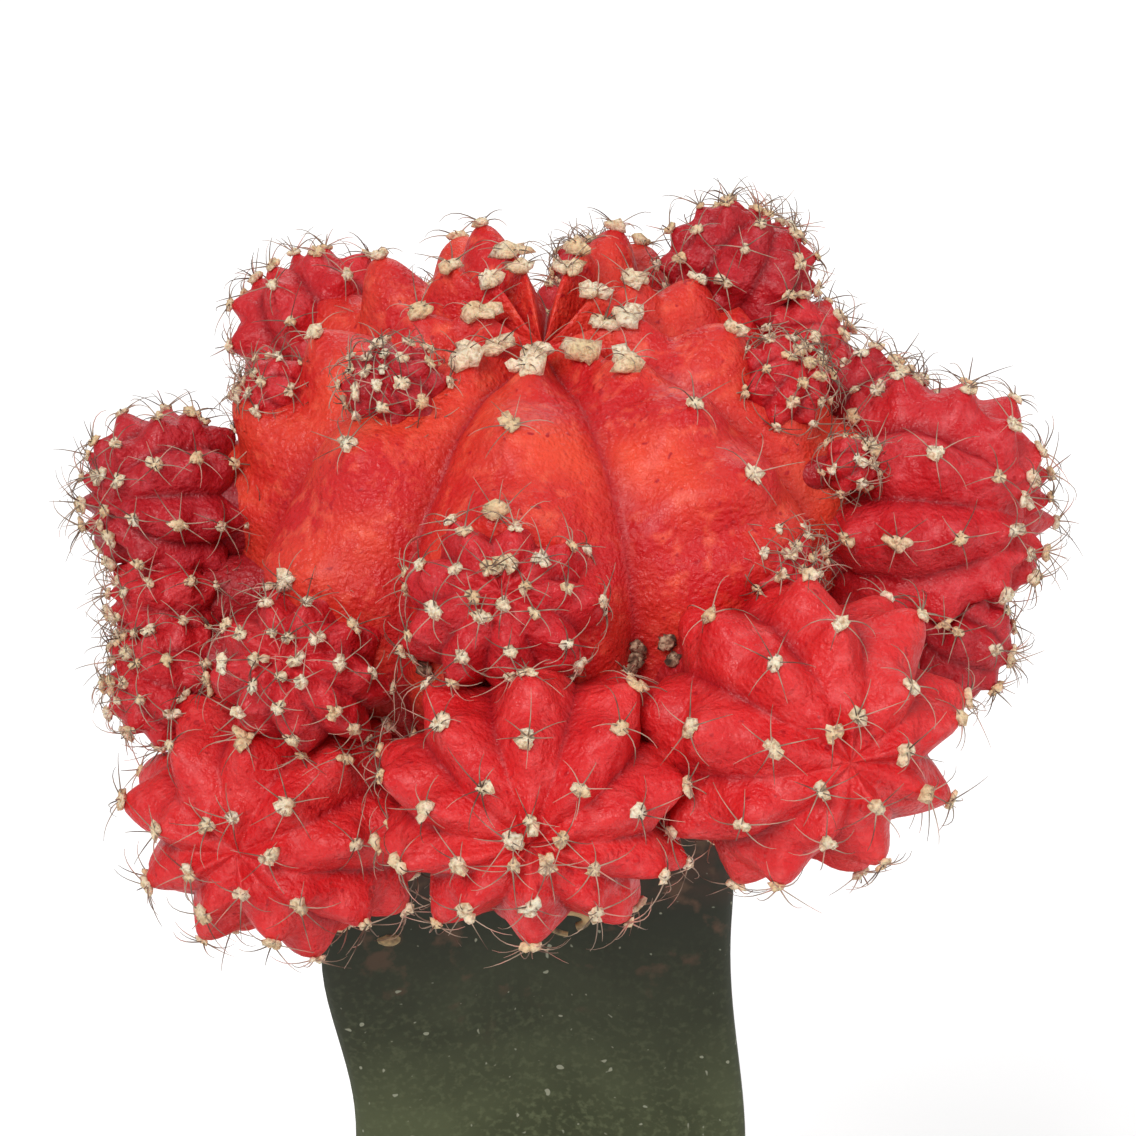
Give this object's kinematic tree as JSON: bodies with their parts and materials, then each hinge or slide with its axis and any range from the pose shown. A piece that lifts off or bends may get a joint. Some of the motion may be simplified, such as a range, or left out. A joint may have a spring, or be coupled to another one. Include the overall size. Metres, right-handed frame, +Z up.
{
  "type": "potted moon cactus",
  "caption": "Red many-headed moon cactus grafted on a three-winged green rootstock, in a plain round clay pot with potting mix.",
  "frame": {"origin": "on the pot's axis, on the plane that its underside rests on", "axes": "+Z up along the pot's and the stem's axis; -Y is the front, where one broad face of the rootstock looks; +X is the viewer's right from the front"},
  "size_m": [0.092, 0.092, 0.2002],
  "materials": {
    "terracotta": "matte",
    "potting_mix": "matte",
    "green_cactus_skin": "satin",
    "orange_red_cactus_skin": "satin",
    "red_cactus_skin": "satin"
  },
  "bodies": {
    "root": {"offset_back": "red_cactus_skin", "offset_back_bud": "red_cactus_skin", "offset_back_left": "red_cactus_skin", "offset_back_low_left": "red_cactus_skin", "offset_back_low_right": "red_cactus_skin", "offset_back_right": "red_cactus_skin", "offset_bud_left": "red_cactus_skin", "offset_bud_low_left": "red_cactus_skin", "offset_bud_right": "red_cactus_skin", "offset_centre": "red_cactus_skin", "offset_crown_left": "red_cactus_skin", "offset_crown_right": "red_cactus_skin", "offset_front": "red_cactus_skin", "offset_left": "red_cactus_skin", "offset_low_left": "red_cactus_skin", "offset_low_right": "red_cactus_skin", "offset_lower_left": "red_cactus_skin", "offset_lower_right": "red_cactus_skin", "offset_mid_left": "red_cactus_skin", "offset_mid_right": "red_cactus_skin", "offset_middle_left": "red_cactus_skin", "offset_right": "red_cactus_skin", "offset_shoulder_right": "red_cactus_skin", "offset_stalked": "red_cactus_skin", "offset_upper_left": "red_cactus_skin", "offset_upper_right": "red_cactus_skin", "pot": "terracotta", "potting_mix": "potting_mix", "rootstock": "green_cactus_skin", "scion_mother": "orange_red_cactus_skin"}
  },
  "joints": []
}
